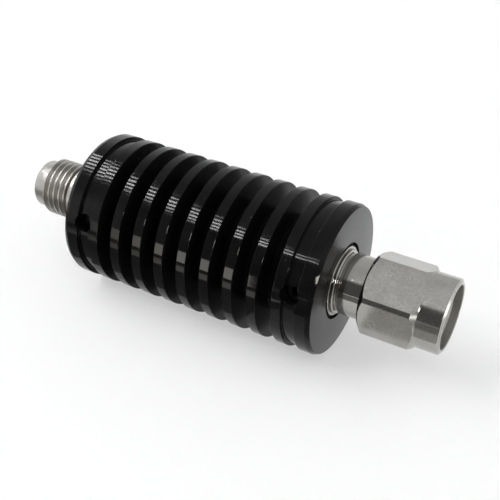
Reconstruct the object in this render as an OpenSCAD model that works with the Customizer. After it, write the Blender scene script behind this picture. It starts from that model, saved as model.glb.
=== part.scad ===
// Coaxial attenuator for radio-frequency lines.
// A black finned heat sink is held by two set screws on a steel barrel. The barrel has a socket
// connector at one end and, at the other, a plug connector with a free-turning coupling nut.
// The axis runs along +X towards the plug. The origin is on the axis, at the socket's reference plane.

/* [Heat sink] */
// Diameter over the fins
sink_od = 16; // [14:0.1:22]
// Length from end face to end face
sink_length = 28.88; // [26:0.01:36]
// Number of wide cooling grooves
groove_count = 8; // [5:1:9]
// Width of a cooling groove
groove_w = 1.63; // [0.8:0.01:1.9]
// Diameter at the root of the cooling grooves
groove_root_d = 10.4; // [9.6:0.1:12.5]
// Distance from the socket-side face to the first cooling groove
rear_margin = 4.3; // [4:0.01:5.5]
// Distance from the last cooling groove to the plug-side face
front_margin = 4.2; // [4:0.01:5.5]
// Width of the shallow groove at each set screw
screw_groove_w = 1.4; // [0.8:0.01:1.8]
// Depth of that groove
screw_groove_depth = 0.38; // [0.2:0.01:0.6]
// Length along the axis of the chamfer on the outer edge of both end faces
end_chamfer = 0.45; // [0.1:0.01:0.8]
// Width of that chamfer towards the axis
end_chamfer_w = 0.2; // [0.05:0.01:0.5]
// Edge break along both sides of every groove
edge_break = 0.07; // [0.02:0.01:0.15]
// Diameter of the recess around the barrel in each end face
recess_d = 8.1; // [7.8:0.05:9]
// Depth of that recess
recess_depth = 0.6; // [0.2:0.05:1.2]

/* [Set screws] */
// Thread diameter of the set screws
screw_d = 1.95; // [1.4:0.05:2.2]
// Depth of a set screw's outer end below the fins
screw_recess = 1.7; // [1:0.1:1.9]
// Distance of a set screw from the nearer end face
screw_inset = 2.4; // [1.8:0.05:3]
// Turn of both set screws from the top towards -Y
screw_turn = 70.4; // [0:0.1:180]
// Width across flats of the hexagon socket
screw_socket = 0.9; // [0.6:0.05:1]
// Depth of the hexagon socket
screw_socket_depth = 1.1; // [0.5:0.1:1.2]

/* [Barrel] */
// Outer diameter of the barrel
barrel_od = 7.4; // [7.1:0.05:7.7]
// Bore of the barrel
barrel_bore = 5.6; // [5.2:0.05:6]
// Length of a connector's spigot inside the barrel
spigot_length = 4; // [3:0.1:6]

/* [Socket connector] */
// Major diameter of the coupling thread
thread_d = 6.35; // [6:0.01:6.45]
// Length of the coupling thread
thread_length = 3.03; // [2.6:0.01:5]
// Diameter of the plain land in front of the thread
land_d = 5.3; // [5:0.05:5.6]
// Length of that land
land_length = 1.44; // [0.8:0.02:1.8]
// Chamfer at the open end of the land
land_chamfer = 0.12; // [0.05:0.01:0.14]
// Diameter of the relief behind the thread
relief_d = 5.5; // [5:0.05:5.8]
// Width of that relief
relief_w = 0.52; // [0.2:0.01:0.8]
// Diameter of the neck between relief and heat sink
rear_neck_d = 6.5; // [6.4:0.05:6.9]
// Length of that neck
rear_neck_length = 3.49; // [2:0.01:6]
// Diameter of the socket that takes the mating plug's ring
socket_d = 4.6; // [4.4:0.01:4.8]
// Depth of that socket down to the reference plane
socket_depth = 1.9; // [1.7:0.05:2.2]
// Diameter of the hole for the mating pin
pin_hole_d = 0.95; // [0.9:0.01:1]
// Depth of that hole
pin_hole_depth = 3; // [2:0.1:4]
// Width of the slots that make the contact springy
contact_slot_w = 0.15; // [0.1:0.01:0.25]

/* [Plug connector] */
// Diameter of the collar that seats on the barrel
collar_d = 6.84; // [6.7:0.02:7]
// Length of the collar
collar_length = 0.35; // [0.2:0.05:0.8]
// Chamfer on the collar's front edge
collar_chamfer = 0.12; // [0.05:0.01:0.15]
// Diameter of the undercut behind the collar
undercut_d = 5.9; // [5.4:0.05:6.2]
// Width of the undercut
undercut_w = 0.22; // [0.15:0.01:0.5]
// Diameter of the neck that carries the nut
neck_d = 6.46; // [6.36:0.01:6.6]
// Length along the axis of the chamfer where the neck starts
neck_chamfer = 0.3; // [0.1:0.01:0.6]
// Width of that chamfer towards the axis
neck_chamfer_w = 0.12; // [0.05:0.01:0.14]
// Length of neck that shows behind the nut
neck_show = 2.47; // [1.5:0.01:4]
// Length of neck inside the nut
neck_inside = 2.4; // [2:0.05:3]
// Outer diameter of the ring that enters the mating socket
ring_d = 4.58; // [4.4:0.01:4.59]
// Length of that ring in front of the gasket
ring_length = 2.05; // [1.8:0.05:2.4]
// Diameter of the pin
pin_d = 0.914; // [0.9:0.001:0.94]
// Length of the pin beyond the reference plane
pin_length = 2; // [1.5:0.05:2.4]
// Length of the rounded pin tip
pin_tip = 0.35; // [0.2:0.05:0.4]

/* [Coupling nut] */
// Width across the flats
nut_flats = 7.94; // [7.8:0.01:8.4]
// Diameter over the broken corners
nut_corners = 8.9; // [8.5:0.05:9]
// Turn of one corner from the top towards -Y
nut_turn = 3.8; // [0:0.1:59.9]
// Length of the hexagon with its end chamfers
hex_length = 5.91; // [5:0.01:8]
// Axial length of the chamfer at the back of the hexagon
hex_back_chamfer = 0.55; // [0.3:0.05:0.8]
// Diameter of the flat at the back of the hexagon
hex_back_d = 7.5; // [7.3:0.05:7.8]
// Diameter of the round nose
nose_d = 7.75; // [7.4:0.01:7.9]
// Length of the nose
nose_length = 2.52; // [2:0.01:4]
// Axial length of the chamfer on the nose
nose_chamfer = 0.2; // [0.1:0.01:0.3]
// Radial width of the chamfer on the nose
nose_chamfer_w = 0.33; // [0.1:0.01:0.4]
// Diameter of the recess at the open end
nose_bore_d = 6.6; // [6.5:0.01:6.9]
// Depth of that recess
nose_bore_depth = 0.85; // [0.3:0.05:1.2]
// Minor diameter of the internal thread
nut_minor_d = 5.65; // [5.4:0.01:5.8]

/* [Snap ring and gasket] */
// Wire diameter of the snap ring
snap_wire = 0.5; // [0.4:0.02:0.6]
// Distance of the snap ring from the back of the nut
snap_inset = 1.2; // [0.9:0.05:1.4]
// Opening of the snap ring, as an angle
snap_opening = 40; // [20:1:90]
// Thickness of the gasket
gasket_t = 0.7; // [0.4:0.05:1]

/* [Attenuator element] */
// Length of the ceramic chip
chip_length = 12; // [8:0.1:14]
// Width of the ceramic chip
chip_w = 3.2; // [2:0.1:4]
// Thickness of the ceramic chip
chip_t = 0.4; // [0.25:0.05:0.6]
// Diameter of the inner conductors in the insulators
conductor_d = 1.27; // [1.2:0.01:1.4]
// Diameter of the inner conductors in the chip carrier
tail_d = 0.87; // [0.7:0.01:0.95]
// Diameter of the insulators
insulator_d = 4.1; // [3.9:0.01:4.3]
// Diameter of the channel in the chip carrier
channel_d = 2; // [1.6:0.1:2.4]
// Thickness of the contact tabs
tab_t = 0.1; // [0.05:0.01:0.2]
// Width of the contact tabs
tab_w = 0.7; // [0.4:0.05:0.9]
// Length of a contact tab's foot on the chip
tab_foot = 1.2; // [0.6:0.1:2]

/* [Fits] */
// Radial clearance between pieces that are fixed together
seat_clearance = 0.02; // [0.01:0.005:0.03]
// Radial clearance between the nut and the neck
running_clearance = 0.05; // [0.02:0.01:0.08]
// Side clearance of the snap ring in the nut's groove
end_play = 0.1; // [0.05:0.01:0.2]

/* [Hidden] */
$fn = 96;

// Overlap of a cutter beyond the face that it opens
cut = 1;

// Stations along the axis
socket_end = -socket_depth;
thread_start = socket_end + land_length;
thread_end = thread_start + thread_length;
rear_neck_start = thread_end + relief_w;
sink_rear = rear_neck_start + rear_neck_length;
sink_front = sink_rear + sink_length;
collar_end = sink_front + collar_length;
neck_start = collar_end + undercut_w;
nut_back = neck_start + neck_show;
neck_end = nut_back + neck_inside;
gasket_front = neck_end + gasket_t;
plug_plane = gasket_front + ring_length;
nose_start = nut_back + hex_length;
nose_end = nose_start + nose_length;
rear_spigot_end = sink_rear + spigot_length;
front_spigot_end = sink_front - spigot_length;
chip_rear = (rear_spigot_end + front_spigot_end - chip_length) / 2;
chip_front = chip_rear + chip_length;

// Radii that fit each other
sink_r = sink_od / 2;
barrel_r = barrel_od / 2;
screw_length = sink_r - screw_recess - barrel_r;
spigot_r = barrel_bore / 2 - seat_clearance;
insulator_bore_r = insulator_d / 2 + seat_clearance;
conductor_bore_r = conductor_d / 2 + seat_clearance;
nut_bore_r = neck_d / 2 + running_clearance;
snap_mid_r = neck_d / 2;
chip_top = -tail_d / 2;

// Places of the set screws and of the cooling grooves along the heat sink
rear_screw_station = sink_rear + screw_inset;
front_screw_station = sink_front - screw_inset;
groove_pitch = (sink_length - rear_margin - front_margin - groove_w) / (groove_count - 1);
groove_starts = [for (i = [0 : groove_count - 1]) sink_rear + rear_margin + i * groove_pitch];

// Turns the local Z axis onto the part's X axis
module along_x() {
    rotate([0, 90, 0]) children();
}

// Solid of revolution about the X axis, from points given as radius and station
module turned(outline) {
    along_x() rotate_extrude() polygon(outline);
}

// Plain round bar about the X axis
module bar(from, to, d) {
    translate([from, 0, 0]) along_x() cylinder(h = to - from, d = d);
}

// Outline of a groove with broken edges, for the outer side of the heat sink
function groove_outline(start, w, root_r) = [
    [sink_r, start - edge_break],
    [sink_r - edge_break, start],
    [root_r, start],
    [root_r, start + w],
    [sink_r - edge_break, start + w],
    [sink_r, start + w + edge_break]
];

// Outline of the shallow groove around a set screw
function screw_groove_outline(station) =
    groove_outline(station - screw_groove_w / 2, screw_groove_w, sink_r - screw_groove_depth);

// Carries children from the axis out to a set screw's place, with local Z pointing outwards
module at_screw(station) {
    translate([station, 0, 0]) rotate([screw_turn, 0, 0]) children();
}

// Turned aluminium sleeve with cooling grooves, and at each end a recess, a shallow groove and a tapped hole
module heat_sink() {
    bore_r = barrel_r + seat_clearance;
    color("#1b1b1d") difference() {
        turned(concat(
            [
                [bore_r, sink_rear + recess_depth],
                [recess_d / 2, sink_rear + recess_depth],
                [recess_d / 2, sink_rear],
                [sink_r - end_chamfer_w, sink_rear],
                [sink_r, sink_rear + end_chamfer]
            ],
            screw_groove_outline(rear_screw_station),
            [for (start = groove_starts) each groove_outline(start, groove_w, groove_root_d / 2)],
            screw_groove_outline(front_screw_station),
            [
                [sink_r, sink_front - end_chamfer],
                [sink_r - end_chamfer_w, sink_front],
                [recess_d / 2, sink_front],
                [recess_d / 2, sink_front - recess_depth],
                [bore_r, sink_front - recess_depth]
            ]
        ));
        for (station = [rear_screw_station, front_screw_station]) {
            at_screw(station) cylinder(h = sink_r + cut, d = screw_d + 2 * seat_clearance);
        }
    }
}

// Headless screw with a hexagon socket, bearing on the barrel
module set_screw(station) {
    color("#2a2a2c") at_screw(station) difference() {
        translate([0, 0, barrel_r]) cylinder(h = screw_length, d = screw_d);
        translate([0, 0, barrel_r + screw_length - screw_socket_depth])
            cylinder(h = screw_socket_depth + cut, d = screw_socket / cos(30), $fn = 6);
    }
}

module rear_set_screw() {
    set_screw(rear_screw_station);
}

module front_set_screw() {
    set_screw(front_screw_station);
}

// Steel tube that joins the two connectors and holds the chip carrier
module barrel() {
    color("#a8a49c") difference() {
        bar(sink_rear, sink_front, barrel_od);
        bar(sink_rear - cut, sink_front + cut, barrel_bore);
    }
}

// Steel body of the socket connector, turned with its spigot
module socket_shell() {
    bore_r = insulator_bore_r;
    color("#bdb8ae") turned([
        [socket_d / 2, socket_end],
        [land_d / 2 - land_chamfer, socket_end],
        [land_d / 2, socket_end + land_chamfer],
        [land_d / 2, thread_start],
        [thread_d / 2, thread_start],
        [thread_d / 2, thread_end],
        [relief_d / 2, thread_end],
        [relief_d / 2, rear_neck_start],
        [rear_neck_d / 2, rear_neck_start],
        [rear_neck_d / 2, sink_rear],
        [spigot_r, sink_rear],
        [spigot_r, rear_spigot_end],
        [bore_r, rear_spigot_end],
        [bore_r, 0],
        [socket_d / 2, 0]
    ]);
}

// White plastic bush around an inner conductor
module insulator(from, to) {
    color("#f1efe8") difference() {
        bar(from, to, insulator_d);
        bar(from - cut, to + cut, 2 * conductor_bore_r);
    }
}

module socket_insulator() {
    insulator(0, rear_spigot_end);
}

// Gilt inner conductor whose slotted front takes the mating pin
module socket_contact() {
    color("#d2ab55") difference() {
        union() {
            bar(0, rear_spigot_end, conductor_d);
            bar(rear_spigot_end, chip_rear, tail_d);
        }
        bar(-cut, pin_hole_depth, pin_hole_d);
        for (turn = [45, 135]) {
            rotate([turn, 0, 0]) translate([-cut, -conductor_d, -contact_slot_w / 2])
                cube([pin_hole_depth + cut, 2 * conductor_d, contact_slot_w]);
        }
    }
}

// Steel body of the plug connector: spigot, collar, neck with snap ring groove, and ring
module plug_shell() {
    groove_r = snap_mid_r - snap_wire / 2 - seat_clearance;
    groove_half = snap_wire / 2 + seat_clearance;
    snap_station = nut_back + snap_inset;
    color("#bdb8ae") turned([
        [insulator_bore_r, front_spigot_end],
        [spigot_r, front_spigot_end],
        [spigot_r, sink_front],
        [collar_d / 2, sink_front],
        [collar_d / 2, collar_end - collar_chamfer],
        [collar_d / 2 - collar_chamfer, collar_end],
        [undercut_d / 2, collar_end],
        [undercut_d / 2, neck_start],
        [neck_d / 2 - neck_chamfer_w, neck_start],
        [neck_d / 2, neck_start + neck_chamfer],
        [neck_d / 2, snap_station - groove_half],
        [groove_r, snap_station - groove_half],
        [groove_r, snap_station + groove_half],
        [neck_d / 2, snap_station + groove_half],
        [neck_d / 2, neck_end],
        [ring_d / 2, neck_end],
        [ring_d / 2, plug_plane],
        [insulator_bore_r, plug_plane]
    ]);
}

module plug_insulator() {
    insulator(front_spigot_end, plug_plane);
}

// Gilt inner conductor that ends in the plug's pin with a rounded tip
module plug_pin() {
    pin_end = plug_plane + pin_length;
    color("#d2ab55") union() {
        bar(chip_front, front_spigot_end, tail_d);
        bar(front_spigot_end, plug_plane, conductor_d);
        turned([
            [0, plug_plane],
            [pin_d / 2, plug_plane],
            [pin_d / 2, pin_end - pin_tip],
            [pin_d / 4, pin_end],
            [0, pin_end]
        ]);
    }
}

// Hexagon nut with a round nose, bored for the neck, the snap ring and the mating thread
module coupling_nut() {
    corner_r = nut_corners / 2;
    nose_r = nose_d / 2;
    groove_r = snap_mid_r + snap_wire / 2 + running_clearance;
    groove_half = snap_wire / 2 + end_play;
    snap_station = nut_back + snap_inset;
    color("#bdb8ae") difference() {
        union() {
            intersection() {
                rotate([nut_turn, 0, 0]) translate([nut_back, 0, 0]) along_x()
                    cylinder(h = hex_length, d = nut_flats / cos(30), $fn = 6);
                turned([
                    [0, nut_back],
                    [hex_back_d / 2, nut_back],
                    [corner_r, nut_back + hex_back_chamfer],
                    [corner_r, nose_start - (corner_r - nose_r)],
                    [nose_r, nose_start],
                    [0, nose_start]
                ]);
            }
            turned([
                [0, nose_start - cut],
                [nose_r, nose_start - cut],
                [nose_r, nose_end - nose_chamfer],
                [nose_r - nose_chamfer_w, nose_end],
                [0, nose_end]
            ]);
        }
        bar(nut_back - cut, gasket_front, 2 * nut_bore_r);
        bar(nut_back, nose_end + cut, nut_minor_d);
        bar(nose_end - nose_bore_depth, nose_end + cut, nose_bore_d);
        bar(snap_station - groove_half, snap_station + groove_half, 2 * groove_r);
    }
}

// Open ring of round wire that keeps the nut on the neck
module nut_snap_ring() {
    color("#d8c48a") translate([nut_back + snap_inset, 0, 0]) along_x()
        rotate_extrude(angle = 360 - snap_opening) translate([snap_mid_r, 0]) circle(d = snap_wire, $fn = 32);
}

// Soft ring on the shoulder of the plug's body
module nut_gasket() {
    color("#c8562e") difference() {
        bar(neck_end, gasket_front, neck_d);
        bar(neck_end - cut, gasket_front + cut, ring_d + 2 * seat_clearance);
    }
}

// One half of the split metal cylinder that clamps the chip, on the side that keep_side gives
module chip_carrier(keep_side) {
    carrier_d = barrel_bore - 2 * seat_clearance;
    intersection() {
        difference() {
            bar(rear_spigot_end, front_spigot_end, carrier_d);
            bar(rear_spigot_end - cut, front_spigot_end + cut, channel_d);
        }
        translate([rear_spigot_end - cut, -carrier_d, keep_side > 0 ? 0 : -carrier_d])
            cube([front_spigot_end - rear_spigot_end + 2 * cut, 2 * carrier_d, carrier_d]);
    }
}

module chip_carrier_lower() {
    color("#c9a24b") difference() {
        chip_carrier(-1);
        translate([chip_rear - seat_clearance, -chip_w / 2 - seat_clearance, chip_top - chip_t])
            cube([chip_length + 2 * seat_clearance, chip_w + 2 * seat_clearance, barrel_bore]);
    }
}

module chip_carrier_upper() {
    color("#c9a24b") chip_carrier(1);
}

// Ceramic plate with the resistive film, bedded in the lower carrier
module attenuator_chip() {
    color("#e9e6dc") translate([chip_rear, -chip_w / 2, chip_top - chip_t])
        cube([chip_length, chip_w, chip_t]);
}

// Bent gilt strip that joins the end of an inner conductor to the chip
module contact_tab() {
    color("#e0bd68") union() {
        translate([0, -tab_w / 2, chip_top]) cube([tab_foot, tab_w, tab_t]);
        translate([0, -tab_w / 2, chip_top]) cube([tab_t, tab_w, tail_d]);
    }
}

module rear_contact_tab() {
    translate([chip_rear, 0, 0]) contact_tab();
}

module front_contact_tab() {
    translate([chip_front, 0, 0]) mirror([1, 0, 0]) contact_tab();
}

heat_sink();
rear_set_screw();
front_set_screw();
barrel();
socket_shell();
socket_insulator();
socket_contact();
plug_shell();
plug_insulator();
plug_pin();
coupling_nut();
nut_snap_ring();
nut_gasket();
chip_carrier_lower();
chip_carrier_upper();
attenuator_chip();
rear_contact_tab();
front_contact_tab();
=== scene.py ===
import math

import bpy
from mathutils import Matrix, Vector


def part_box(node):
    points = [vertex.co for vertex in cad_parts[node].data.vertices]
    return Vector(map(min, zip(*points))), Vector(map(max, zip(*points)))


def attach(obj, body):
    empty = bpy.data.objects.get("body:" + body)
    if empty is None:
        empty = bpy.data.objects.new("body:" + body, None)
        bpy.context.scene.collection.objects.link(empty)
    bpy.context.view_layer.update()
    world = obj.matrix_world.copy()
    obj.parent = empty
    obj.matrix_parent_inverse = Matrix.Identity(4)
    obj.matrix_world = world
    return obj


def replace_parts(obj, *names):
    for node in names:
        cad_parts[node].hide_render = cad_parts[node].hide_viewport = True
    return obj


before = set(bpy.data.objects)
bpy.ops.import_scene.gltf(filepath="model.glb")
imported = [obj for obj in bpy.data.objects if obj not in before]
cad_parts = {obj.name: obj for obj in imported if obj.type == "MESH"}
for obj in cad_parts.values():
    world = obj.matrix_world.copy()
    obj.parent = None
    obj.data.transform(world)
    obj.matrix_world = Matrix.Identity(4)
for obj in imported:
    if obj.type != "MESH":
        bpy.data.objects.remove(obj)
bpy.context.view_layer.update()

mm = 0.001

# Camera: a short telephoto close to the part, above and in front of it, a little towards the plug.
# Its place and lens were fitted to the edges of the fins, the end faces and the nut in the photograph.
camera_place = Vector((60.78, -66.05, 58.68)) * mm
camera_forward = Vector((-0.37733, 0.69215, -0.61526))
camera_lens = 65.19
camera_sensor = 36

bpy.ops.object.camera_add(location=camera_place)
camera = bpy.context.object
camera.name = "camera"
camera.rotation_euler = camera_forward.to_track_quat("-Z", "Y").to_euler()
camera.data.lens = camera_lens
camera.data.sensor_width = camera_sensor
camera.data.clip_start = 1 * mm
camera.data.clip_end = 20
bpy.context.scene.camera = camera


# Heat sink: one sleeve of aluminium, turned from bar with eight deep cooling grooves and a shallow
# groove near each end, drilled there for two set screws, then anodised black. It slides over the barrel.
sink_low, sink_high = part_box("heat_sink")
sink_rear = sink_low[0]
sink_front = sink_high[0]
sink_r = sink_high[2]
groove_count = 8
groove_w = 1.63 * mm
groove_root_r = 5.2 * mm
rear_margin = 4.3 * mm
front_margin = 4.2 * mm
end_chamfer = 0.45 * mm
end_chamfer_w = 0.2 * mm
recess_r = 4.05 * mm
recess_depth = 0.6 * mm
barrel_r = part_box("barrel")[1][2]
sink_bore_r = barrel_r + 0.02 * mm
screw_turn = math.radians(70.4)
screw_inset = 2.4 * mm
screw_hole_r = 0.995 * mm
screw_groove_w = 1.4 * mm
screw_groove_r = sink_r - 0.38 * mm
fin_edge = 0.06 * mm
drill_start_r = 2 * mm
weld_distance = 0.0005 * mm
sliver_size = 0.0002 * mm
crease_angle = math.radians(10)


def lathe(name, outline, steps=192):
    """Turned piece: a point is drawn out along the outline of stations and radii, then spun about X."""
    bpy.ops.object.select_all(action="DESELECT")
    bpy.ops.mesh.primitive_plane_add(size=mm)
    piece = bpy.context.object
    piece.name = name
    piece.data.name = name
    bpy.ops.object.mode_set(mode="EDIT")
    bpy.ops.mesh.select_all(action="SELECT")
    bpy.ops.mesh.merge(type="CENTER")
    station, radius = outline[0]
    bpy.ops.transform.translate(value=(station, 0, radius))
    for next_station, next_radius in outline[1:]:
        step = (next_station - station, 0, next_radius - radius)
        bpy.ops.mesh.extrude_vertices_move(TRANSFORM_OT_translate={"value": step})
        station, radius = next_station, next_radius
    bpy.ops.mesh.select_all(action="SELECT")
    bpy.ops.mesh.spin(steps=steps, angle=2 * math.pi, center=(0, 0, 0), axis=(1, 0, 0))
    bpy.ops.mesh.select_all(action="SELECT")
    bpy.ops.mesh.remove_doubles(threshold=weld_distance)
    bpy.ops.mesh.normals_make_consistent(inside=False)
    bpy.ops.object.mode_set(mode="OBJECT")
    return piece


def make_active(piece):
    """Selects one piece alone."""
    bpy.ops.object.select_all(action="DESELECT")
    piece.select_set(True)
    bpy.context.view_layer.objects.active = piece


def machine(piece, tool, operation):
    """Cuts, joins or trims a piece with a second shape, which is used up."""
    make_active(piece)
    step = piece.modifiers.new("machining", "BOOLEAN")
    step.operation = operation
    step.object = tool
    step.solver = "EXACT"
    bpy.ops.object.modifier_apply(modifier=step.name)
    bpy.data.objects.remove(tool, do_unlink=True)
    bpy.ops.object.mode_set(mode="EDIT")
    bpy.ops.mesh.select_all(action="SELECT")
    bpy.ops.mesh.dissolve_degenerate(threshold=sliver_size)
    bpy.ops.object.mode_set(mode="OBJECT")


def break_edges(piece, width, segments=4, angle=30):
    """Rounds every edge that is sharper than the angle."""
    make_active(piece)
    step = piece.modifiers.new("edge break", "BEVEL")
    step.width = width
    step.segments = segments
    step.limit_method = "ANGLE"
    step.angle_limit = math.radians(angle)
    step.use_clamp_overlap = True
    bpy.ops.object.modifier_apply(modifier=step.name)


def finish_surface(piece, material):
    """Shades turned faces smooth, keeps every edge crisp, and gives the piece its one material."""
    make_active(piece)
    bpy.ops.object.shade_smooth_by_angle(angle=crease_angle)
    piece.data.materials.clear()
    piece.data.materials.append(material)


def radial_pin(name, station, start_r, end_r, radius, sides=48):
    """Round bar that points from the axis towards a set screw's place."""
    bpy.ops.object.select_all(action="DESELECT")
    middle_r = (start_r + end_r) / 2
    middle = (station, -middle_r * math.sin(screw_turn), middle_r * math.cos(screw_turn))
    bpy.ops.mesh.primitive_cylinder_add(
        vertices=sides, radius=radius, depth=end_r - start_r, location=middle, rotation=(screw_turn, 0, 0)
    )
    pin = bpy.context.object
    pin.name = name
    bpy.ops.object.transform_apply(location=True, rotation=True, scale=True)
    return pin


def square_groove(start, end, root_r):
    """Outline of a square groove in the sleeve."""
    return [(start, sink_r), (start, root_r), (end, root_r), (end, sink_r)]


screw_stations = {
    "rear_set_screw": sink_rear + screw_inset,
    "front_set_screw": sink_front - screw_inset,
}
groove_pitch = (sink_front - sink_rear - rear_margin - front_margin - groove_w) / (groove_count - 1)
sink_outline = [
    (sink_rear + recess_depth, sink_bore_r),
    (sink_rear + recess_depth, recess_r),
    (sink_rear, recess_r),
    (sink_rear, sink_r - end_chamfer_w),
    (sink_rear + end_chamfer, sink_r),
]
start = screw_stations["rear_set_screw"] - screw_groove_w / 2
sink_outline += square_groove(start, start + screw_groove_w, screw_groove_r)
for groove in range(groove_count):
    start = sink_rear + rear_margin + groove * groove_pitch
    sink_outline += square_groove(start, start + groove_w, groove_root_r)
start = screw_stations["front_set_screw"] - screw_groove_w / 2
sink_outline += square_groove(start, start + screw_groove_w, screw_groove_r)
sink_outline += [
    (sink_front - end_chamfer, sink_r),
    (sink_front, sink_r - end_chamfer_w),
    (sink_front, recess_r),
    (sink_front - recess_depth, recess_r),
    (sink_front - recess_depth, sink_bore_r),
    (sink_rear + recess_depth, sink_bore_r),
]
fins = lathe("finned_sleeve", sink_outline, steps=256)
break_edges(fins, fin_edge)
for station in screw_stations.values():
    drill = radial_pin("drill", station, drill_start_r, sink_r + mm, screw_hole_r)
    machine(fins, drill, "DIFFERENCE")


def node_of(tree, kind, **settings):
    """Adds a shader node and sets its named properties."""
    made = tree.nodes.new(kind)
    for key, value in settings.items():
        setattr(made, key, value)
    return made


def maths(tree, operation, first, second=None):
    """Adds a Math node whose inputs are links or plain numbers, and returns its output."""
    made = node_of(tree, "ShaderNodeMath", operation=operation)
    for socket, value in zip(made.inputs, (first, second)):
        if value is None:
            continue
        if isinstance(value, (int, float)):
            socket.default_value = value
        else:
            tree.links.new(value, socket)
    return made.outputs[0]


def ramp(tree, value, low, high, low_color, high_color):
    """Maps a value onto two colours, between a low and a high position."""
    made = node_of(tree, "ShaderNodeValToRGB")
    made.color_ramp.elements[0].position = low
    made.color_ramp.elements[0].color = (*low_color, 1)
    made.color_ramp.elements[1].position = high
    made.color_ramp.elements[1].color = (*high_color, 1)
    tree.links.new(value, made.inputs["Fac"])
    return made.outputs["Color"]


def new_group(name, inputs, outputs):
    """Starts a shader node group with named value inputs and outputs."""
    tree = bpy.data.node_groups.new(name, "ShaderNodeTree")
    for label, value in inputs.items():
        socket = tree.interface.new_socket(name=label, in_out="INPUT", socket_type="NodeSocketFloat")
        socket.default_value = value
    for label in outputs:
        tree.interface.new_socket(name=label, in_out="OUTPUT", socket_type="NodeSocketFloat")
    return tree, tree.nodes.new("NodeGroupInput"), tree.nodes.new("NodeGroupOutput")


# Tool marks of a lathe: fine rings that follow the station on round faces and the radius on flat ones
turning_marks, marks_in, marks_out = new_group(
    "turning marks", {"Rings per mm": 12.0, "Bands per mm": 1.5}, ["Height", "Bands", "Radius"]
)
marks_place = node_of(turning_marks, "ShaderNodeTexCoord").outputs["Object"]
marks_axes = node_of(turning_marks, "ShaderNodeSeparateXYZ")
turning_marks.links.new(marks_place, marks_axes.inputs[0])
marks_y = maths(turning_marks, "MULTIPLY", marks_axes.outputs["Y"], marks_axes.outputs["Y"])
marks_z = maths(turning_marks, "MULTIPLY", marks_axes.outputs["Z"], marks_axes.outputs["Z"])
marks_r = maths(turning_marks, "SQRT", maths(turning_marks, "ADD", marks_y, marks_z))
turning_marks.links.new(marks_r, marks_out.inputs["Radius"])
marks_run = maths(turning_marks, "ADD", marks_axes.outputs["X"], marks_r)
marks_run = maths(turning_marks, "DIVIDE", marks_run, mm)
for label, output, detail in (("Rings per mm", "Height", 4.0), ("Bands per mm", "Bands", 2.0)):
    noise = node_of(turning_marks, "ShaderNodeTexNoise", noise_dimensions="1D")
    noise.inputs["Scale"].default_value = 1
    noise.inputs["Detail"].default_value = detail
    turning_marks.links.new(
        maths(turning_marks, "MULTIPLY", marks_run, marks_in.outputs[label]), noise.inputs["W"]
    )
    turning_marks.links.new(noise.outputs["Fac"], marks_out.inputs[output])

# Handling marks: faint cloudy rubbing, a fine grain and rare specks of dust
handling_marks, handling_in, handling_out = new_group(
    "handling marks",
    {"Cloud size": 400.0, "Grain size": 5000.0, "Speck size": 2600.0, "Speck share": 0.1},
    ["Cloud", "Grain", "Specks"],
)
handling_place = node_of(handling_marks, "ShaderNodeTexCoord").outputs["Object"]
cloud = node_of(handling_marks, "ShaderNodeTexNoise")
cloud.inputs["Detail"].default_value = 5
handling_marks.links.new(handling_place, cloud.inputs["Vector"])
handling_marks.links.new(handling_in.outputs["Cloud size"], cloud.inputs["Scale"])
handling_marks.links.new(cloud.outputs["Fac"], handling_out.inputs["Cloud"])
grain = node_of(handling_marks, "ShaderNodeTexNoise")
grain.inputs["Detail"].default_value = 2
handling_marks.links.new(handling_place, grain.inputs["Vector"])
handling_marks.links.new(handling_in.outputs["Grain size"], grain.inputs["Scale"])
handling_marks.links.new(grain.outputs["Fac"], handling_out.inputs["Grain"])
speck = node_of(handling_marks, "ShaderNodeTexVoronoi")
handling_marks.links.new(handling_place, speck.inputs["Vector"])
handling_marks.links.new(handling_in.outputs["Speck size"], speck.inputs["Scale"])
speck_share = handling_in.outputs["Speck share"]
speck_near = maths(handling_marks, "LESS_THAN", speck.outputs["Distance"], speck_share)
speck_pick = node_of(handling_marks, "ShaderNodeSeparateColor")
handling_marks.links.new(speck.outputs["Color"], speck_pick.inputs[0])
speck_rare = maths(handling_marks, "GREATER_THAN", speck_pick.outputs[0], 0.965)
specks = maths(handling_marks, "MULTIPLY", speck_near, speck_rare)
handling_marks.links.new(specks, handling_out.inputs["Specks"])


def place_group(tree, group, **values):
    """Places a node group in a material with its own values."""
    made = node_of(tree, "ShaderNodeGroup", node_tree=group)
    for label, value in values.items():
        made.inputs[label.replace("_", " ")].default_value = value
    return made


def new_material(name):
    """Starts a material and returns it with its tree and its Principled shader."""
    material = bpy.data.materials.new(name)
    material.use_nodes = True
    return material, material.node_tree, material.node_tree.nodes["Principled BSDF"]


def bump(tree, shader, height, strength, distance):
    """Turns a height into the shader's normal."""
    made = node_of(tree, "ShaderNodeBump")
    made.inputs["Strength"].default_value = strength
    made.inputs["Distance"].default_value = distance
    tree.links.new(height, made.inputs["Height"])
    tree.links.new(made.outputs["Normal"], shader.inputs["Normal"])


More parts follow.
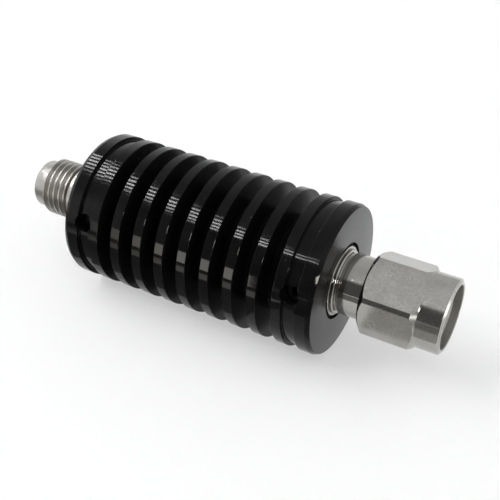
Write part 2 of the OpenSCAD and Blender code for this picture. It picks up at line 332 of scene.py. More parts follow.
black_anodise, tree, shader = new_material("black_anodise")
marks = place_group(tree, turning_marks, Rings_per_mm=14.0, Bands_per_mm=1.2)
rubs = place_group(tree, handling_marks, Cloud_size=350.0, Speck_size=2200.0, Speck_share=0.09)
dye = ramp(tree, rubs.outputs["Cloud"], 0.3, 0.75, (0.004, 0.004, 0.0045), (0.009, 0.009, 0.0095))
dust = node_of(tree, "ShaderNodeMix", data_type="RGBA")
dust.inputs["B"].default_value = (0.16, 0.155, 0.145, 1)
tree.links.new(rubs.outputs["Specks"], dust.inputs["Factor"])
tree.links.new(dye, dust.inputs["A"])
tree.links.new(dust.outputs["Result"], shader.inputs["Base Color"])
facing = node_of(tree, "ShaderNodeSeparateXYZ")
tree.links.new(node_of(tree, "ShaderNodeTexCoord").outputs["Normal"], facing.inputs[0])
side_face = maths(tree, "GREATER_THAN", maths(tree, "ABSOLUTE", facing.outputs["X"]), 0.95)
sheen_bands = maths(tree, "MULTIPLY", marks.outputs["Bands"], 0.05)
sheen = maths(tree, "ADD", sheen_bands, maths(tree, "MULTIPLY", side_face, 0.18))
tree.links.new(maths(tree, "ADD", sheen, 0.04), shader.inputs["Roughness"])
stations = node_of(tree, "ShaderNodeSeparateXYZ")
tree.links.new(node_of(tree, "ShaderNodeTexCoord").outputs["Object"], stations.inputs[0])
from_middle = maths(tree, "SUBTRACT", stations.outputs["X"], (sink_rear + sink_front) / 2)
from_middle = maths(tree, "ABSOLUTE", from_middle)
near_end = maths(tree, "GREATER_THAN", from_middle, (sink_front - sink_rear) / 2 - end_chamfer)
end_face = maths(tree, "MULTIPLY", side_face, near_end)
gloss = maths(tree, "ADD", maths(tree, "MULTIPLY", end_face, 0.35), 0.12)
tree.links.new(gloss, shader.inputs["Specular IOR Level"])
face_grain = maths(tree, "MULTIPLY", rubs.outputs["Grain"], maths(tree, "ADD", side_face, 0.3))
bump(tree, shader, maths(tree, "ADD", marks.outputs["Height"], face_grain), 0.16, 0.004 * mm)
finish_surface(fins, black_anodise)
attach(fins, "attenuator")
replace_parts(fins, "heat_sink")


# Set screws: headless screws of blackened alloy steel with a hexagon socket. They sit deep in the heat
# sink's tapped holes and bear on the barrel. Their hidden threads are left plain.
screw_r = 0.975 * mm
screw_length = 2.6 * mm
screw_socket_r = 0.45 * mm / math.cos(math.radians(30))
screw_socket_depth = 1.1 * mm
screw_chamfer = 0.08 * mm

blackened_steel, tree, shader = new_material("blackened_steel")
rubs = place_group(tree, handling_marks, Cloud_size=1500.0, Speck_size=4000.0, Speck_share=0.06)
tree.links.new(
    ramp(tree, rubs.outputs["Cloud"], 0.35, 0.7, (0.012, 0.012, 0.013), (0.04, 0.039, 0.038)),
    shader.inputs["Base Color"],
)
shader.inputs["Metallic"].default_value = 0.7
shader.inputs["Roughness"].default_value = 0.42
bump(tree, shader, rubs.outputs["Cloud"], 0.2, 0.004 * mm)

for node_name, station in screw_stations.items():
    screw = radial_pin("grub_" + node_name, station, barrel_r, barrel_r + screw_length, screw_r)
    break_edges(screw, screw_chamfer, segments=1)
    key_end = barrel_r + screw_length
    key = radial_pin("key", station, key_end - screw_socket_depth, key_end + mm, screw_socket_r, sides=6)
    machine(screw, key, "DIFFERENCE")
    finish_surface(screw, blackened_steel)
    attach(screw, "attenuator")
    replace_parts(screw, node_name)


# Barrel: a tube of stainless steel, turned and bored, that carries the heat sink and joins the two
# connectors. Only its two ends show, as bright turned rings in the heat sink's end faces.
barrel_bore_r = 2.8 * mm
barrel_edge = 0.1 * mm
bright_turned = 0.05
dull_turned = 0.3


def turned_metal(name, polish):
    """Turned stainless steel with a roughness of its own."""
    material, tree, shader = new_material(name)
    marks = place_group(tree, turning_marks, Rings_per_mm=16.0, Bands_per_mm=2.0)
    rubs = place_group(tree, handling_marks, Cloud_size=500.0, Speck_size=3000.0, Speck_share=0.05)
    tree.links.new(
        ramp(tree, rubs.outputs["Cloud"], 0.3, 0.75, (0.35, 0.34, 0.318), (0.41, 0.4, 0.378)),
        shader.inputs["Base Color"],
    )
    shader.inputs["Metallic"].default_value = 1
    polish_bands = maths(tree, "MULTIPLY", marks.outputs["Bands"], 0.08)
    tree.links.new(maths(tree, "ADD", polish_bands, polish), shader.inputs["Roughness"])
    bump(tree, shader, marks.outputs["Height"], 0.06, 0.004 * mm)
    return material


turned_steel = turned_metal("turned_steel", bright_turned)
socket_steel = turned_metal("socket_steel", dull_turned)

tube = lathe("barrel_tube", [
    (sink_rear, barrel_bore_r),
    (sink_rear, barrel_r),
    (sink_front, barrel_r),
    (sink_front, barrel_bore_r),
    (sink_rear, barrel_bore_r),
])
break_edges(tube, barrel_edge, segments=3)
finish_surface(tube, turned_steel)
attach(tube, "attenuator")
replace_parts(tube, "barrel")


# Socket connector's body: stainless steel, turned with a plain land, a fine coupling thread, a relief
# and a neck that seats on the barrel, then bored for the mating plug's ring and for the insulator.
socket_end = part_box("socket_shell")[0][0]
spigot_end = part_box("socket_shell")[1][0]
thread_pitch = 0.7056 * mm
thread_start = socket_end + 1.44 * mm
thread_end = thread_start + 3.03 * mm
thread_r = 3.175 * mm
thread_root_r = 2.76 * mm
thread_runout = 0.1 * mm
land_r = 2.65 * mm
relief_r = 2.75 * mm
rear_neck_start = thread_end + 0.52 * mm
rear_neck_r = 3.25 * mm
spigot_r = 2.78 * mm
socket_r = 2.3 * mm
insulator_r = 2.05 * mm
insulator_bore_r = insulator_r + 0.02 * mm
land_chamfer = 0.12 * mm
body_edge = 0.05 * mm
bore_overrun = 1 * mm
bore_chamfer = 0.06 * mm
thread_lead = 1.37


def thread_form(name, root_r, crest_r, start, end, steps=96):
    """Closed threaded rod: one tooth is drawn over one pitch, screwed about X from ahead of its start
    and cut to length."""
    bpy.ops.object.select_all(action="DESELECT")
    bpy.ops.mesh.primitive_plane_add(size=mm)
    rod = bpy.context.object
    rod.name = name
    tooth = ((0, root_r), (0.22, root_r), (0.52, crest_r), (0.7, crest_r), (1, root_r))
    bpy.ops.object.mode_set(mode="EDIT")
    bpy.ops.mesh.select_all(action="SELECT")
    bpy.ops.mesh.merge(type="CENTER")
    station, radius = start - thread_lead * thread_pitch, root_r
    bpy.ops.transform.translate(value=(station, 0, radius))
    for share, next_radius in tooth[1:]:
        next_station = start + (share - thread_lead) * thread_pitch
        step = (next_station - station, 0, next_radius - radius)
        bpy.ops.mesh.extrude_vertices_move(TRANSFORM_OT_translate={"value": step})
        station, radius = next_station, next_radius
    bpy.ops.object.mode_set(mode="OBJECT")
    turns = rod.modifiers.new("turns", "SCREW")
    turns.axis = "X"
    turns.angle = 2 * math.pi
    turns.screw_offset = thread_pitch
    turns.iterations = math.ceil((end - start) / thread_pitch) + 2
    turns.steps = steps
    turns.render_steps = steps
    turns.use_merge_vertices = True
    turns.merge_threshold = weld_distance
    make_active(rod)
    bpy.ops.object.modifier_apply(modifier=turns.name)
    bpy.ops.object.mode_set(mode="EDIT")
    bpy.ops.mesh.select_all(action="SELECT")
    bpy.ops.mesh.remove_doubles(threshold=weld_distance)
    for station, side in ((start, -1), (end, 1)):
        bpy.ops.mesh.select_all(action="SELECT")
        bpy.ops.mesh.bisect(
            plane_co=(station, 0, 0), plane_no=(side, 0, 0), use_fill=True, clear_outer=True, threshold=0
        )
    bpy.ops.mesh.select_all(action="SELECT")
    bpy.ops.mesh.normals_make_consistent(inside=False)
    bpy.ops.object.mode_set(mode="OBJECT")
    return rod


socket_body = lathe("socket_body", [
    (socket_end, 0),
    (socket_end, land_r - land_chamfer),
    (socket_end + land_chamfer, land_r),
    (thread_start + thread_pitch, land_r),
    (thread_end - thread_pitch, relief_r),
    (rear_neck_start, relief_r),
    (rear_neck_start, rear_neck_r),
    (sink_rear, rear_neck_r),
    (sink_rear, spigot_r),
    (spigot_end, spigot_r),
    (spigot_end, 0),
])
break_edges(socket_body, body_edge)
thread = thread_form("die", thread_root_r, thread_r, thread_start, thread_end + thread_runout)
machine(socket_body, thread, "UNION")
socket_bore = lathe("socket_bore", [
    (socket_end - bore_overrun, 0),
    (socket_end - bore_overrun, socket_r + bore_chamfer + bore_overrun),
    (socket_end + bore_chamfer, socket_r),
    (0, socket_r),
    (0, insulator_bore_r),
    (spigot_end + bore_overrun, insulator_bore_r),
    (spigot_end + bore_overrun, 0),
])
machine(socket_body, socket_bore, "DIFFERENCE")
finish_surface(socket_body, socket_steel)
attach(socket_body, "attenuator")
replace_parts(socket_body, "socket_shell")


# Socket's inside: a white fluoropolymer bush pressed into the body, and through it a gold-plated
# inner conductor, drilled and slotted at its front so that it grips the mating pin.
conductor_r = 0.635 * mm
pin_hole_r = 0.475 * mm
pin_hole_depth = 3 * mm
contact_slot_w = 0.15 * mm
contact_slot_end = pin_hole_depth - 0.2 * mm
tail_r = 0.435 * mm
bush_fit = 0.02 * mm
bush_edge = 0.04 * mm

white_plastic, tree, shader = new_material("white_plastic")
marks = place_group(tree, turning_marks, Rings_per_mm=9.0, Bands_per_mm=2.0)
tree.links.new(
    ramp(tree, marks.outputs["Bands"], 0.3, 0.7, (0.83, 0.82, 0.78), (0.88, 0.87, 0.84)),
    shader.inputs["Base Color"],
)
shader.inputs["Roughness"].default_value = 0.5
shader.inputs["Subsurface Weight"].default_value = 0.15
shader.inputs["Subsurface Radius"].default_value = (0.6 * mm, 0.6 * mm, 0.6 * mm)
bump(tree, shader, marks.outputs["Height"], 0.2, 0.004 * mm)

gold_plate, tree, shader = new_material("gold_plate")
marks = place_group(tree, turning_marks, Rings_per_mm=18.0, Bands_per_mm=3.0)
rubs = place_group(tree, handling_marks, Cloud_size=900.0, Speck_size=5000.0, Speck_share=0.05)
tree.links.new(
    ramp(tree, rubs.outputs["Cloud"], 0.3, 0.75, (0.8, 0.56, 0.2), (0.9, 0.68, 0.3)),
    shader.inputs["Base Color"],
)
shader.inputs["Metallic"].default_value = 1
tree.links.new(
    maths(tree, "ADD", maths(tree, "MULTIPLY", marks.outputs["Bands"], 0.15), 0.15),
    shader.inputs["Roughness"],
)
bump(tree, shader, marks.outputs["Height"], 0.25, 0.003 * mm)


def bush(name, start, end):
    """Insulator: a tube that fits between body and inner conductor."""
    made = lathe(name, [
        (start, conductor_r + bush_fit),
        (start, insulator_r),
        (end, insulator_r),
        (end, conductor_r + bush_fit),
        (start, conductor_r + bush_fit),
    ], steps=96)
    break_edges(made, bush_edge)
    finish_surface(made, white_plastic)
    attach(made, "attenuator")
    return made


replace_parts(bush("socket_bush", 0, spigot_end), "socket_insulator")

chip_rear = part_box("attenuator_chip")[0][0]
chip_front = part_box("attenuator_chip")[1][0]
contact = lathe("socket_conductor", [
    (0, 0),
    (0, conductor_r),
    (spigot_end, conductor_r),
    (spigot_end, tail_r),
    (chip_rear, tail_r),
    (chip_rear, 0),
], steps=64)
break_edges(contact, body_edge)
pin_drill = lathe("pin_drill", [
    (-bore_overrun, 0),
    (-bore_overrun, pin_hole_r),
    (pin_hole_depth, pin_hole_r),
    (pin_hole_depth + pin_hole_r / 2, 0),
], steps=64)
machine(contact, pin_drill, "DIFFERENCE")
for slot_turn in (45, 135):
    bpy.ops.object.select_all(action="DESELECT")
    saw_middle = ((contact_slot_end - bore_overrun) / 2, 0, 0)
    bpy.ops.mesh.primitive_cube_add(size=1, location=saw_middle, rotation=(math.radians(slot_turn), 0, 0))
    saw = bpy.context.object
    saw.scale = (contact_slot_end + bore_overrun, 4 * conductor_r, contact_slot_w)
    bpy.ops.object.transform_apply(location=True, rotation=True, scale=True)
    machine(contact, saw, "DIFFERENCE")
finish_surface(contact, gold_plate)
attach(contact, "attenuator")
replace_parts(contact, "socket_contact")


# Plug connector's body: stainless steel, turned with a collar that seats on the barrel, an undercut,
# a neck that carries the nut and its snap ring, and a thin ring that enters the mating socket.
plug_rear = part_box("plug_shell")[0][0]
plug_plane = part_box("plug_shell")[1][0]
nut_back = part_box("coupling_nut")[0][0]
collar_r = 3.42 * mm
collar_end = sink_front + 0.35 * mm
collar_chamfer = 0.12 * mm
undercut_r = 2.95 * mm
neck_start = collar_end + 0.22 * mm
neck_r = 3.23 * mm
neck_chamfer = 0.3 * mm
neck_chamfer_w = 0.12 * mm
neck_end = nut_back + 2.4 * mm
ring_r = 2.29 * mm
snap_station = nut_back + 1.2 * mm
snap_half = 0.27 * mm
snap_groove_r = neck_r - 0.27 * mm

plug_body = lathe("plug_body", [
    (plug_rear, insulator_bore_r),
    (plug_rear, spigot_r),
    (sink_front, spigot_r),
    (sink_front, collar_r),
    (collar_end - collar_chamfer, collar_r),
    (collar_end, collar_r - collar_chamfer),
    (collar_end, undercut_r),
    (neck_start, undercut_r),
    (neck_start, neck_r - neck_chamfer_w),
    (neck_start + neck_chamfer, neck_r),
    (snap_station - snap_half, neck_r),
    (snap_station - snap_half, snap_groove_r),
    (snap_station + snap_half, snap_groove_r),
    (snap_station + snap_half, neck_r),
    (neck_end, neck_r),
    (neck_end, ring_r),
    (plug_plane, ring_r),
    (plug_plane, insulator_bore_r),
    (plug_rear, insulator_bore_r),
])
break_edges(plug_body, body_edge)
finish_surface(plug_body, turned_steel)
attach(plug_body, "attenuator")
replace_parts(plug_body, "plug_shell")


# Plug's inside: the same white fluoropolymer bush, pressed into the plug's body, and through it a
# gold-plated inner conductor that is turned down to the pin, with a tapered tip.
pin_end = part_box("plug_pin")[1][0]
pin_r = 0.457 * mm
pin_tip = 0.35 * mm
pin_tip_bend = pin_tip / 3
pin_bend_r = 0.8 * pin_r
pin_end_r = pin_r / 2
pin_edge = 0.03 * mm

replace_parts(bush("plug_bush", plug_rear, plug_plane), "plug_insulator")

pin = lathe("plug_conductor", [
    (chip_front, 0),
    (chip_front, tail_r),
    (plug_rear, tail_r),
    (plug_rear, conductor_r),
    (plug_plane, conductor_r),
    (plug_plane, pin_r),
    (pin_end - pin_tip, pin_r),
    (pin_end - pin_tip_bend, pin_bend_r),
    (pin_end, pin_end_r),
    (pin_end, 0),
], steps=64)
break_edges(pin, pin_edge)
finish_surface(pin, gold_plate)
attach(pin, "attenuator")
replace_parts(pin, "plug_pin")


# Coupling nut: cut from hexagon bar of stainless steel, turned to a round nose, chamfered at both ends
# of the hexagon, bored for the neck and the snap ring, and tapped. It turns freely on the neck.
nose_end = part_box("coupling_nut")[1][0]
nose_start = nut_back + 5.91 * mm
nut_flats = 7.94 * mm
nut_corner_r = 4.45 * mm
nut_turn = math.radians(3.8)
hex_turn = (math.radians(90), math.radians(60) - nut_turn, math.radians(90))
hex_back_r = 3.75 * mm
hex_back_chamfer = 0.55 * mm
nose_r = 3.875 * mm
nose_chamfer = 0.2 * mm
nose_chamfer_w = 0.33 * mm
nose_bore_r = 3.3 * mm
nose_bore_depth = 0.85 * mm
nut_minor_r = 2.825 * mm
nut_major_r = 3.21 * mm
nut_bore_r = neck_r + 0.05 * mm
gasket_front = neck_end + 0.7 * mm
nut_snap_half = 0.35 * mm
nut_snap_r = neck_r + 0.3 * mm
nut_edge = 0.03 * mm
nut_edge_angle = 12

satin_steel, tree, shader = new_material("satin_steel")
marks = place_group(tree, turning_marks)
rubs = place_group(
    tree, handling_marks, Cloud_size=450.0, Grain_size=4500.0, Speck_size=3000.0, Speck_share=0.05
)
half_cloud = maths(tree, "MULTIPLY", rubs.outputs["Cloud"], 0.5)
half_grain = maths(tree, "MULTIPLY", rubs.outputs["Grain"], 0.5)
cloud_and_grain = maths(tree, "ADD", half_cloud, half_grain)
tree.links.new(
    ramp(tree, cloud_and_grain, 0.35, 0.65, (0.335, 0.328, 0.308), (0.415, 0.407, 0.385)),
    shader.inputs["Base Color"],
)
shader.inputs["Metallic"].default_value = 1
bored = maths(tree, "LESS_THAN", marks.outputs["Radius"], nose_bore_r + nut_edge)
satin = maths(tree, "ADD", maths(tree, "MULTIPLY", rubs.outputs["Grain"], 0.12), 0.09)
tree.links.new(maths(tree, "ADD", maths(tree, "MULTIPLY", bored, 0.3), satin), shader.inputs["Roughness"])
bump(tree, shader, rubs.outputs["Grain"], 0.12, 0.004 * mm)

bpy.ops.object.select_all(action="DESELECT")
bpy.ops.mesh.primitive_cylinder_add(
    vertices=6,
    radius=nut_flats / 2 / math.cos(math.radians(30)),
    depth=nose_end - nut_back + 2 * bore_overrun,
    location=((nose_end + nut_back) / 2, 0, 0),
    rotation=hex_turn,
)
nut = bpy.context.object
nut.name = "hexagon_nut"
bpy.ops.object.transform_apply(location=True, rotation=True, scale=True)
nut_turning = lathe("nut_turning", [
    (nut_back, 0),
    (nut_back, hex_back_r),
    (nut_back + hex_back_chamfer, nut_corner_r),
    (nose_start - (nut_corner_r - nose_r), nut_corner_r),
    (nose_start, nose_r),
    (nose_end - nose_chamfer, nose_r),
    (nose_end, nose_r - nose_chamfer_w),
    (nose_end, 0),
], steps=240)
machine(nut, nut_turning, "INTERSECT")
break_edges(nut, nut_edge, segments=1, angle=nut_edge_angle)
nut_boring = lathe("nut_boring", [
    (nut_back - bore_overrun, 0),
    (nut_back - bore_overrun, nut_bore_r),
    (snap_station - nut_snap_half, nut_bore_r),
    (snap_station - nut_snap_half, nut_snap_r),
    (snap_station + nut_snap_half, nut_snap_r),
    (snap_station + nut_snap_half, nut_bore_r),
    (gasket_front, nut_bore_r),
    (gasket_front, nut_minor_r),
    (nose_end - nose_bore_depth - (nose_bore_r - nut_minor_r), nut_minor_r),
    (nose_end - nose_bore_depth, nose_bore_r),
    (nose_end - bore_chamfer, nose_bore_r),
    (nose_end + bore_overrun, nose_bore_r + bore_chamfer + bore_overrun),
    (nose_end + bore_overrun, 0),
])
machine(nut, nut_boring, "DIFFERENCE")
tap_start = gasket_front - 0.05 * mm
tap_end = nose_end - nose_bore_depth + 0.1 * mm
tap_core_r = nut_minor_r - 0.01 * mm
tap = thread_form("tap", tap_core_r, nut_major_r, tap_start, tap_end)
machine(nut, tap, "DIFFERENCE")
finish_surface(nut, satin_steel)
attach(nut, "nut")
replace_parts(nut, "coupling_nut")


# Nut's ring and gasket: an open ring of bronze wire that locks the nut to the neck, and a soft
# silicone ring on the neck's shoulder. The wire stays hidden in its groove.
seal_bore_r = ring_r + 0.02 * mm
seal_edge = 0.15 * mm

gasket_rubber, tree, shader = new_material("gasket_rubber")
rubs = place_group(tree, handling_marks, Cloud_size=1200.0, Speck_size=4000.0, Speck_share=0.1)
tree.links.new(
    ramp(tree, rubs.outputs["Cloud"], 0.3, 0.7, (0.33, 0.06, 0.02), (0.45, 0.1, 0.04)),
    shader.inputs["Base Color"],
)
shader.inputs["Roughness"].default_value = 0.55
bump(tree, shader, rubs.outputs["Cloud"], 0.3, 0.01 * mm)

seal = lathe("silicone_ring", [
    (neck_end, seal_bore_r),
    (neck_end, neck_r),
    (gasket_front, neck_r),
    (gasket_front, seal_bore_r),
    (neck_end, seal_bore_r),
], steps=96)
break_edges(seal, seal_edge, segments=10)
finish_surface(seal, gasket_rubber)
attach(seal, "attenuator")
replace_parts(seal, "nut_gasket")

spring_wire, tree, shader = new_material("spring_wire")
rubs = place_group(tree, handling_marks, Cloud_size=2500.0, Speck_size=6000.0, Speck_share=0.05)
tree.links.new(
    ramp(tree, rubs.outputs["Cloud"], 0.3, 0.7, (0.5, 0.36, 0.17), (0.64, 0.48, 0.25)),
    shader.inputs["Base Color"],
)
shader.inputs["Metallic"].default_value = 1
shader.inputs["Roughness"].default_value = 0.32
bump(tree, shader, rubs.outputs["Cloud"], 0.1, 0.003 * mm)


def dress(node_name, material):
    """Gives a CAD node its one material."""
    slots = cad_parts[node_name].data.materials
    slots.clear()
    slots.append(material)


dress("nut_snap_ring", spring_wire)


# Attenuator element: a ceramic plate with a dark resistive film between gold ends, clamped in a split,
# gold-plated carrier inside the barrel, and joined to both inner conductors by bent gold strips.
film_low = 0.18
film_high = 0.82

chip_ceramic, tree, shader = new_material("chip_ceramic")
place = node_of(tree, "ShaderNodeTexCoord").outputs["Object"]
axes = node_of(tree, "ShaderNodeSeparateXYZ")
tree.links.new(place, axes.inputs[0])
from_rear = maths(tree, "SUBTRACT", axes.outputs["X"], chip_rear)
share = maths(tree, "DIVIDE", from_rear, chip_front - chip_rear)
past_low = maths(tree, "GREATER_THAN", share, film_low)
film = maths(tree, "MULTIPLY", past_low, maths(tree, "LESS_THAN", share, film_high))
rubs = place_group(tree, handling_marks, Cloud_size=1800.0, Speck_size=6000.0, Speck_share=0.05)
film_color = ramp(tree, rubs.outputs["Cloud"], 0.3, 0.7, (0.05, 0.045, 0.04), (0.09, 0.08, 0.075))
end_color = ramp(tree, rubs.outputs["Cloud"], 0.3, 0.7, (0.78, 0.72, 0.55), (0.86, 0.82, 0.7))
layer = node_of(tree, "ShaderNodeMix", data_type="RGBA")
tree.links.new(film, layer.inputs["Factor"])
tree.links.new(end_color, layer.inputs["A"])
tree.links.new(film_color, layer.inputs["B"])
tree.links.new(layer.outputs["Result"], shader.inputs["Base Color"])
shader.inputs["Roughness"].default_value = 0.45
bump(tree, shader, rubs.outputs["Cloud"], 0.15, 0.003 * mm)

dress("attenuator_chip", chip_ceramic)
for node_name in ("chip_carrier_lower", "chip_carrier_upper", "rear_contact_tab", "front_contact_tab"):
    dress(node_name, gold_plate)


# Stage: a large sheet of matt white paper on a table, with the part lying on it on its fins. It glows a
# little for the camera and for polished faces, so that it stays white without lighting the part.
floor_size = 6
floor_level = sink_low[2]
floor_low = (0.51, 0.51, 0.51)
floor_high = (0.53, 0.53, 0.53)
floor_glow = 0.46

bpy.ops.object.select_all(action="DESELECT")
bpy.ops.mesh.primitive_plane_add(size=floor_size, location=(0, 0, floor_level))
floor = bpy.context.object
floor.name = "floor"
bpy.ops.object.transform_apply(location=True)
white_sheet, tree, shader = new_material("white_sheet")
rubs = place_group(tree, handling_marks, Cloud_size=3.0, Grain_size=900.0, Speck_size=50.0, Speck_share=0.0)
paper = ramp(tree, rubs.outputs["Cloud"], 0.2, 0.8, floor_low, floor_high)
tree.links.new(paper, shader.inputs["Base Color"])
shader.inputs["Roughness"].default_value = 0.9
shader.inputs["Specular IOR Level"].default_value = 0
path = node_of(tree, "ShaderNodeLightPath")
seen = maths(tree, "MAXIMUM", path.outputs["Is Camera Ray"], path.outputs["Is Glossy Ray"])
seen = maths(tree, "MAXIMUM", seen, path.outputs["Is Transmission Ray"])
shader.inputs["Emission Color"].default_value = (1, 1, 1, 1)
tree.links.new(maths(tree, "MULTIPLY", seen, floor_glow), shader.inputs["Emission Strength"])
floor.data.materials.append(white_sheet)


# Ceiling lamp: a long louvred fitting overhead to the left, in rows of lit cells that are brightest in
# the middle of each row. The camera doesn't see it.
lamp_height = 1.0
lamp_row_count = 11
lamp_row_start = 0.36
lamp_row_step = -0.11
lamp_row_w = 0.045
lamp_left = -0.72
lamp_left_step = 0.01
lamp_right = -0.66
lamp_right_step = 0.036
lamp_end = -0.335
lamp_cell_origin = -2
lamp_cells_per_m = 32
lamp_cell_share = 0.62
lamp_brightness = 280

bpy.ops.object.select_all(action="DESELECT")
rows = []
for row in range(lamp_row_count):
    left = lamp_left + row * lamp_left_step
    right = min(lamp_right + row * lamp_right_step, lamp_end)
    row_place = ((left + right) / 2, lamp_row_start + row * lamp_row_step, lamp_height)
    bpy.ops.mesh.primitive_plane_add(size=1, location=row_place)
    rows.append(bpy.context.object)
    rows[-1].scale = (right - left, lamp_row_w, 1)
for row in rows:
    row.select_set(True)
bpy.ops.object.join()
lamp = bpy.context.object
lamp.name = "louvred_lamp"
bpy.ops.object.transform_apply(location=True, rotation=True, scale=True)
lamp_light = bpy.data.materials.new("lamp_light")
lamp_light.use_nodes = True
tree = lamp_light.node_tree
tree.nodes.clear()
axes = node_of(tree, "ShaderNodeSeparateXYZ")
tree.links.new(node_of(tree, "ShaderNodeTexCoord").outputs["Object"], axes.inputs[0])
cell = maths(tree, "SUBTRACT", axes.outputs["X"], lamp_cell_origin)
cell = maths(tree, "FRACT", maths(tree, "MULTIPLY", cell, lamp_cells_per_m))
lit = maths(tree, "LESS_THAN", cell, lamp_cell_share)
along_row = node_of(tree, "ShaderNodeSeparateXYZ")
tree.links.new(node_of(tree, "ShaderNodeTexCoord").outputs["UV"], along_row.inputs[0])
to_end = maths(tree, "SUBTRACT", 1, along_row.outputs["X"])
lit = maths(tree, "MULTIPLY", lit, maths(tree, "MULTIPLY", along_row.outputs["X"], to_end))
glow = node_of(tree, "ShaderNodeEmission")
tree.links.new(maths(tree, "MULTIPLY", lit, lamp_brightness), glow.inputs["Strength"])
tree.links.new(glow.outputs[0], node_of(tree, "ShaderNodeOutputMaterial").inputs["Surface"])
lamp.data.materials.append(lamp_light)
lamp.visible_camera = False


# Room: pale walls and ceiling, darker overhead at the left and dark behind the camera, with a bright
# low wall at the far left. The camera itself sees plain white.
left_ceiling = (0.42, 0.425, 0.435)
right_ceiling = (0.84, 0.845, 0.855)
back_wall_color = (0.74, 0.745, 0.75)
left_wall_color = (1.4, 1.41, 1.43)
dark_color = (0.12, 0.12, 0.12)
horizon_top = 0.04
horizon_blur = 0.02
dark_top = 0.73
dark_blur = 0.05
black = (0, 0, 0)
white = (1, 1, 1)

world = bpy.data.worlds.new("room")
bpy.context.scene.world = world
world.use_nodes = True
tree = world.node_tree
tree.nodes.clear()
sides = node_of(tree, "ShaderNodeSeparateXYZ")
tree.links.new(node_of(tree, "ShaderNodeTexCoord").outputs["Generated"], sides.inputs[0])
upward = sides.outputs["Z"]
from_left = maths(tree, "ADD", maths(tree, "MULTIPLY", sides.outputs["X"], 0.5), 0.5)
to_back = maths(tree, "ADD", maths(tree, "MULTIPLY", sides.outputs["Y"], 0.5), 0.5)
path = node_of(tree, "ShaderNodeLightPath")


def painted(under, color, share):
    """Room with one more colour over it, as far as share goes."""
    mix = node_of(tree, "ShaderNodeMix", data_type="RGBA")
    mix.inputs["B"].default_value = (*color, 1)
    tree.links.new(share, mix.inputs["Factor"])
    tree.links.new(under, mix.inputs["A"])
    return mix.outputs["Result"]


room = ramp(tree, from_left, 0.32, 0.4, left_ceiling, right_ceiling)
room = painted(room, back_wall_color, ramp(tree, to_back, 0.6, 0.8, black, white))
left_side = ramp(tree, from_left, 0.23, 0.27, white, black)
low_side = ramp(tree, upward, 0.45, 0.65, white, black)
room = painted(room, left_wall_color, maths(tree, "MULTIPLY", low_side, left_side))
dark_side = ramp(tree, to_back, 0.2, 0.3, white, black)
dark_below = ramp(tree, upward, dark_top - dark_blur, dark_top + dark_blur, white, black)
behind_camera = maths(tree, "MULTIPLY", dark_side, dark_below)
behind_camera = maths(tree, "MULTIPLY", behind_camera, maths(tree, "SUBTRACT", 1, left_side))
room = painted(room, dark_color, behind_camera)
horizon = ramp(tree, upward, horizon_top - horizon_blur, horizon_top + horizon_blur, white, black)
horizon = maths(tree, "MULTIPLY", horizon, maths(tree, "SUBTRACT", 1, dark_side))
room = painted(room, white, maths(tree, "MAXIMUM", horizon, path.outputs["Is Camera Ray"]))
background = node_of(tree, "ShaderNodeBackground")
tree.links.new(room, background.inputs["Color"])
tree.links.new(background.outputs[0], node_of(tree, "ShaderNodeOutputWorld").inputs["Surface"])


# Grey strips and windows: grey strips in front of the part, darker than the white sheet, a low window with
# its light on the table, and a side window at the right. They are cards that only polished faces show.
strip_tint = (1, 0.98, 0.94)
card_level = floor_level + 0.1 * mm
# Strips in front of the part that polished faces show in place of the white sheet, each darker than the
# sheet by its strength.
grey_strips = {
    "grey_strip_front": {"left": -0.04, "right": 1.5, "near": -1.5, "far": -0.024, "strength": 0.24},
    "grey_strip_by_fins": {"left": -0.04, "right": 0.026, "near": -0.024, "far": -0.009, "strength": 0.28},
    "grey_strip_by_nose": {"left": 0.037, "right": 0.08, "near": -0.024, "far": -0.009, "strength": 0.5},
}
warm_white = (1, 0.97, 0.88)
window_place = (-8.5 * mm, -60 * mm, 0.5 * mm)
window_turn = (math.radians(90), 0, 0)
window_w = 33 * mm
window_h = 17 * mm
window_strength = 10
window_fade = 0.6
window_light_place = (2 * mm, -33 * mm, card_level + 0.1 * mm)
window_light_l = 40 * mm
window_light_w = 14 * mm
window_light_strength = 3.4
window_light_fade = 0.65
side_window_place = (290 * mm, -260 * mm, 160 * mm)
side_window_turn = (math.radians(90), 0, math.radians(45))
side_window_w = 80 * mm
side_window_h = 70 * mm
side_window_strength = 40
sharp_fade = 0.001
lying = (0, 0, 0)


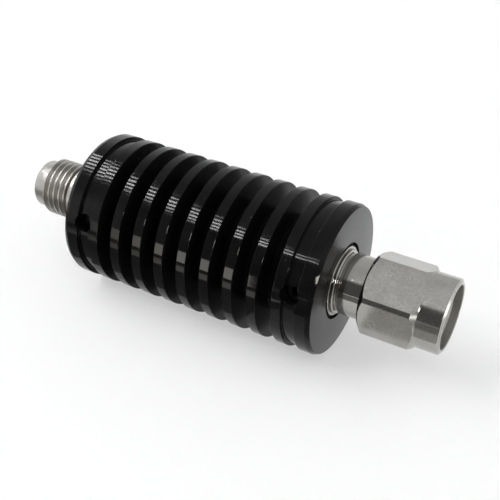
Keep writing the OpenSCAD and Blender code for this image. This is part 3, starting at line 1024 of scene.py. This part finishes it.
def reflected_card(name, place, turn, length, width, color, strength, fade=sharp_fade):
    """Card that only polished faces show. It fades out towards its left end over a share of its length."""
    bpy.ops.object.select_all(action="DESELECT")
    bpy.ops.mesh.primitive_plane_add(size=1, location=place, rotation=turn)
    card = bpy.context.object
    card.name = name
    card.scale = (length, width, 1)
    bpy.ops.object.transform_apply(location=True, rotation=True, scale=True)
    card_light = bpy.data.materials.new(name + "_light")
    card_light.use_nodes = True
    tree = card_light.node_tree
    tree.nodes.clear()
    glow = node_of(tree, "ShaderNodeEmission")
    glow.inputs["Color"].default_value = (*color, 1)
    glow.inputs["Strength"].default_value = strength
    along = node_of(tree, "ShaderNodeSeparateXYZ")
    tree.links.new(node_of(tree, "ShaderNodeTexCoord").outputs["UV"], along.inputs[0])
    growth = ramp(tree, along.outputs["X"], 0, fade, black, white)
    faded = node_of(tree, "ShaderNodeMixShader")
    tree.links.new(growth, faded.inputs["Fac"])
    tree.links.new(node_of(tree, "ShaderNodeBsdfTransparent").outputs[0], faded.inputs[1])
    tree.links.new(glow.outputs[0], faded.inputs[2])
    tree.links.new(faded.outputs[0], node_of(tree, "ShaderNodeOutputMaterial").inputs["Surface"])
    card.data.materials.append(card_light)
    card.visible_camera = False
    card.visible_diffuse = False
    card.visible_transmission = False
    card.visible_shadow = False


for name, strip in grey_strips.items():
    strip_place = ((strip["left"] + strip["right"]) / 2, (strip["near"] + strip["far"]) / 2, card_level)
    strip_l = strip["right"] - strip["left"]
    strip_w = strip["far"] - strip["near"]
    reflected_card(name, strip_place, lying, strip_l, strip_w, strip_tint, strip["strength"])
reflected_card(
    "window_on_table", window_light_place, lying, window_light_l, window_light_w,
    warm_white, window_light_strength, fade=window_light_fade,
)
reflected_card(
    "window", window_place, window_turn, window_w, window_h, warm_white, window_strength, fade=window_fade
)
reflected_card(
    "side_window", side_window_place, side_window_turn, side_window_w, side_window_h,
    warm_white, side_window_strength,
)


# Bright patch: a flat light that lies on the sheet at the right, out of the picture, and shines up
# beside the nut, like a lit spot of the table.
patch_place = (130 * mm, 0, floor_level + 0.1 * mm)
patch_turn = (math.pi, 0, 0)
patch_l = 80 * mm
patch_w = 110 * mm
patch_power = 0.07

bpy.ops.object.light_add(type="AREA", location=patch_place, rotation=patch_turn)
patch = bpy.context.object
patch.name = "right_patch"
patch.data.shape = "RECTANGLE"
patch.data.size = patch_l
patch.data.size_y = patch_w
patch.data.energy = patch_power

bpy.context.scene.view_settings.view_transform = "Standard"
